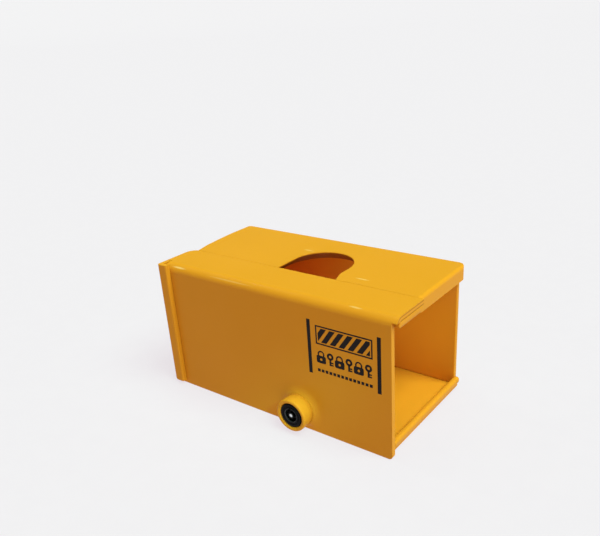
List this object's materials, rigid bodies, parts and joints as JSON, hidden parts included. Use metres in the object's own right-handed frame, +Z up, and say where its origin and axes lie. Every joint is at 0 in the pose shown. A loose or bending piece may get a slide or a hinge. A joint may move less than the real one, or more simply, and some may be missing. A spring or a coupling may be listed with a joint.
{
  "type": "trailer coupler lock",
  "caption": "Steel box that shuts over a trailer coupling head, with a hooked swing cover and a barrel lock in a short tube.",
  "frame": {"origin": "middle of the tray's underside, the face that the box stands on", "axes": "+X along the box towards its open end, +Y from the cover to the back wall, +Z up"},
  "size_m": [0.2237, 0.1261, 0.112],
  "materials": {
    "yellow_paint": "gloss powder coat",
    "black_zinc": "black zinc, satin",
    "bright_steel": "machined, bright",
    "pin_brass": "turned",
    "seal_rubber": "matt"
  },
  "bodies": {
    "box": {"base_tray": "yellow_paint", "back_wall": "yellow_paint", "inner_top_plate": "yellow_paint", "outer_top_plate": "yellow_paint", "sill_bar": "yellow_paint", "header_bar": "yellow_paint", "catch_bracket": "yellow_paint"},
    "cover": {"cover_panel": "yellow_paint", "lock_tube": "yellow_paint", "lock_housing": "black_zinc", "seal_ring": "seal_rubber", "retaining_clip": "bright_steel", "bushing": "bright_steel", "cross_pin": "bright_steel", "driver_pin_1": "pin_brass", "driver_pin_2": "pin_brass", "driver_pin_3": "pin_brass", "driver_pin_4": "pin_brass", "driver_pin_5": "pin_brass", "driver_pin_6": "pin_brass", "driver_pin_7": "pin_brass", "pin_spring_1": "bright_steel", "pin_spring_2": "bright_steel", "pin_spring_3": "bright_steel", "pin_spring_4": "bright_steel", "pin_spring_5": "bright_steel", "pin_spring_6": "bright_steel", "pin_spring_7": "bright_steel"},
    "lock": {"lock_spindle": "black_zinc", "key_pin_1": "pin_brass", "key_pin_2": "pin_brass", "key_pin_3": "pin_brass", "key_pin_4": "pin_brass", "key_pin_5": "pin_brass", "key_pin_6": "pin_brass", "key_pin_7": "pin_brass", "lock_cam": "bright_steel", "cam_washer": "bright_steel", "cam_screw": "bright_steel"}
  },
  "joints": [
    {"name": "cover_swing", "type": "hinge", "parent": "box", "child": "cover", "pos_m": [-0.0995, -0.05655, 0], "axis": [0, 0, -1], "range_deg": [0, 90]},
    {"name": "lock_turn", "type": "hinge", "parent": "cover", "child": "lock", "pos_m": [0.0289, -0.05625, 0.0142], "axis": [0, 1, 0], "range_deg": [0, 90]}
  ]
}
